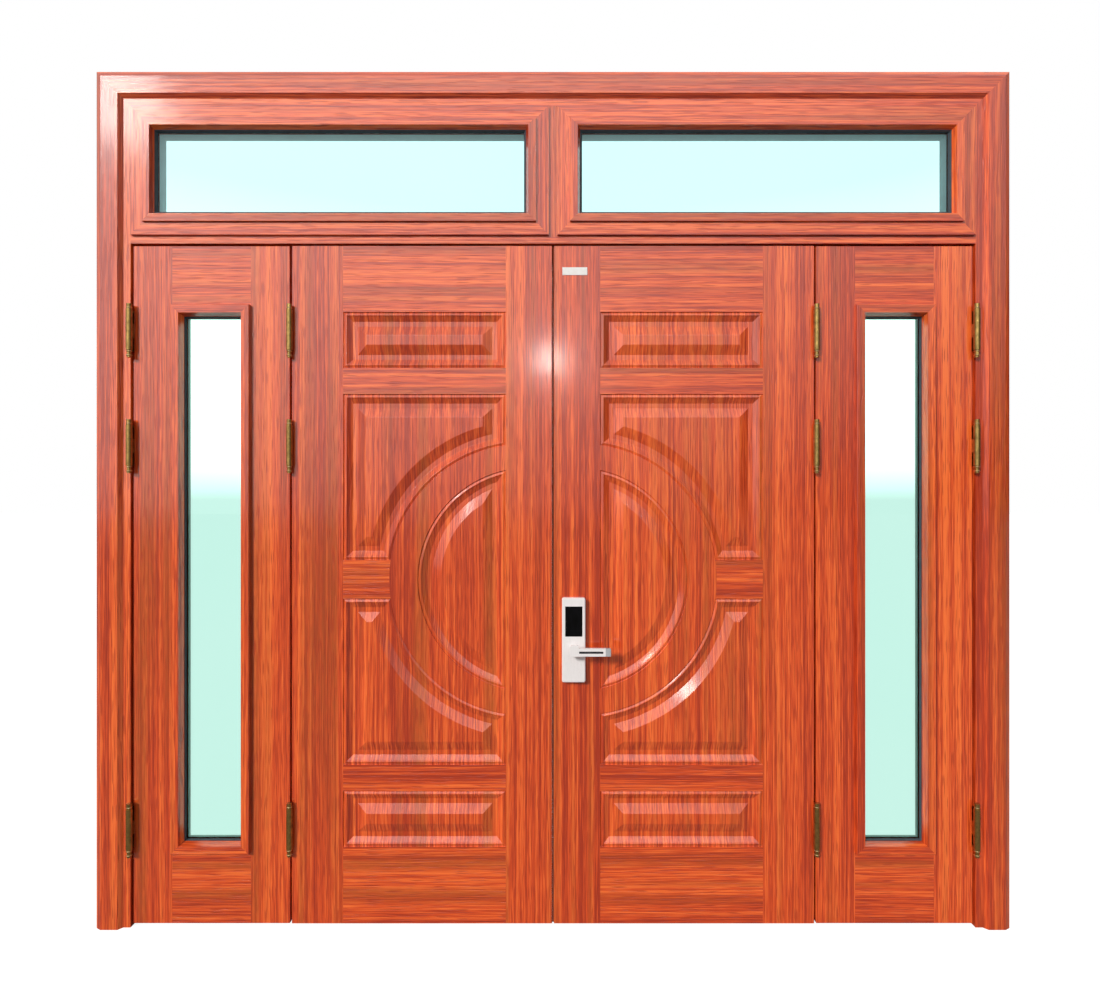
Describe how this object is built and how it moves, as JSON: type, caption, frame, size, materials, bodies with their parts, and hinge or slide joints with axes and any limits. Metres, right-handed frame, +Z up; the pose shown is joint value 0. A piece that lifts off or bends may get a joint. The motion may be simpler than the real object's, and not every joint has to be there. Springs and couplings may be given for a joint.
{
  "type": "four-leaf steel door",
  "caption": "Wide steel entrance door with wood-grain finish, pressed centre leaves with a round motif, glazed side leaves, fixed transom lights and a lever lock.",
  "frame": {"origin": "foot of the left jamb, on the floor, in the plane of the leaves' front faces", "axes": "+X along the wall to the right as seen from outside, +Y into the wall, +Z up"},
  "size_m": [2.9, 0.166, 2.72],
  "materials": {
    "frame_wood_grain": "satin red-brown wood-grain finish",
    "leaf_wood_grain": "satin red-brown wood-grain finish",
    "transom_glass": "clear, faint cyan",
    "side_glass": "clear, faint green",
    "hinge_brass": "antique, dulled",
    "lock_silver": "fine silver lacquer",
    "screen_black": "glossy black",
    "inlay_black": "black, satin",
    "cap_grey": "mid grey, satin",
    "edge_plate_steel": "brushed",
    "seal_rubber": "black",
    "badge_white": "white, plain"
  },
  "bodies": {
    "frame": {"jamb_left": "frame_wood_grain", "jamb_right": "frame_wood_grain", "head": "frame_wood_grain", "transom_bar": "frame_wood_grain", "transom_stop": "frame_wood_grain", "transom_mullion": "frame_wood_grain", "frame_seal": "seal_rubber", "transom_frame_left": "frame_wood_grain", "transom_frame_right": "frame_wood_grain", "transom_bead_left": "frame_wood_grain", "transom_bead_right": "frame_wood_grain", "transom_glass_left": "transom_glass", "transom_glass_right": "transom_glass", "jamb_hinge_fixed_left": "hinge_brass", "jamb_hinge_fixed_right": "hinge_brass"},
    "side_leaf_left": {"side_leaf_left": "leaf_wood_grain", "side_bead_front_left": "leaf_wood_grain", "side_bead_back_left": "leaf_wood_grain", "side_glass_left": "side_glass", "jamb_hinge_leaf_left": "hinge_brass", "seam_hinge_fixed_left": "hinge_brass"},
    "side_leaf_right": {"side_leaf_right": "leaf_wood_grain", "side_bead_front_right": "leaf_wood_grain", "side_bead_back_right": "leaf_wood_grain", "side_glass_right": "side_glass", "jamb_hinge_leaf_right": "hinge_brass", "seam_hinge_fixed_right": "hinge_brass"},
    "main_leaf_left": {"main_leaf_left": "leaf_wood_grain", "seam_hinge_leaf_left": "hinge_brass", "strike_plate": "edge_plate_steel"},
    "main_leaf_right": {"main_leaf_right": "leaf_wood_grain", "seam_hinge_leaf_right": "hinge_brass", "forend_plate": "edge_plate_steel", "meeting_seal": "seal_rubber", "lock_plate_outer": "lock_silver", "lock_screen": "screen_black", "lock_plate_inner": "lock_silver", "badge_plate": "badge_white"},
    "lever": {"lever_outer": "lock_silver", "lever_inlay": "inlay_black", "lever_end_cap": "cap_grey", "lever_inner": "lock_silver"}
  },
  "joints": [
    {"name": "side_swing_left", "type": "hinge", "parent": "frame", "child": "side_leaf_left", "pos_m": [0.055, -0.016, 1.11], "axis": [0, 0, -1], "range_deg": [0, 90]},
    {"name": "side_swing_right", "type": "hinge", "parent": "frame", "child": "side_leaf_right", "pos_m": [2.737, -0.016, 1.11], "axis": [0, 0, 1], "range_deg": [0, 90]},
    {"name": "main_swing_left", "type": "hinge", "parent": "side_leaf_left", "child": "main_leaf_left", "pos_m": [0.56, -0.012, 1.11], "axis": [0, 0, -1], "range_deg": [0, 120]},
    {"name": "main_swing_right", "type": "hinge", "parent": "side_leaf_right", "child": "main_leaf_right", "pos_m": [2.232, -0.012, 1.11], "axis": [0, 0, 1], "range_deg": [0, 120]},
    {"name": "lever_turn", "type": "hinge", "parent": "main_leaf_right", "child": "lever", "pos_m": [1.4615, -0.022, 0.89], "axis": [0, 1, 0], "range_deg": [0, 45], "stiffness_Nm_per_rad": 1.6, "springref_deg": -17.19}
  ]
}
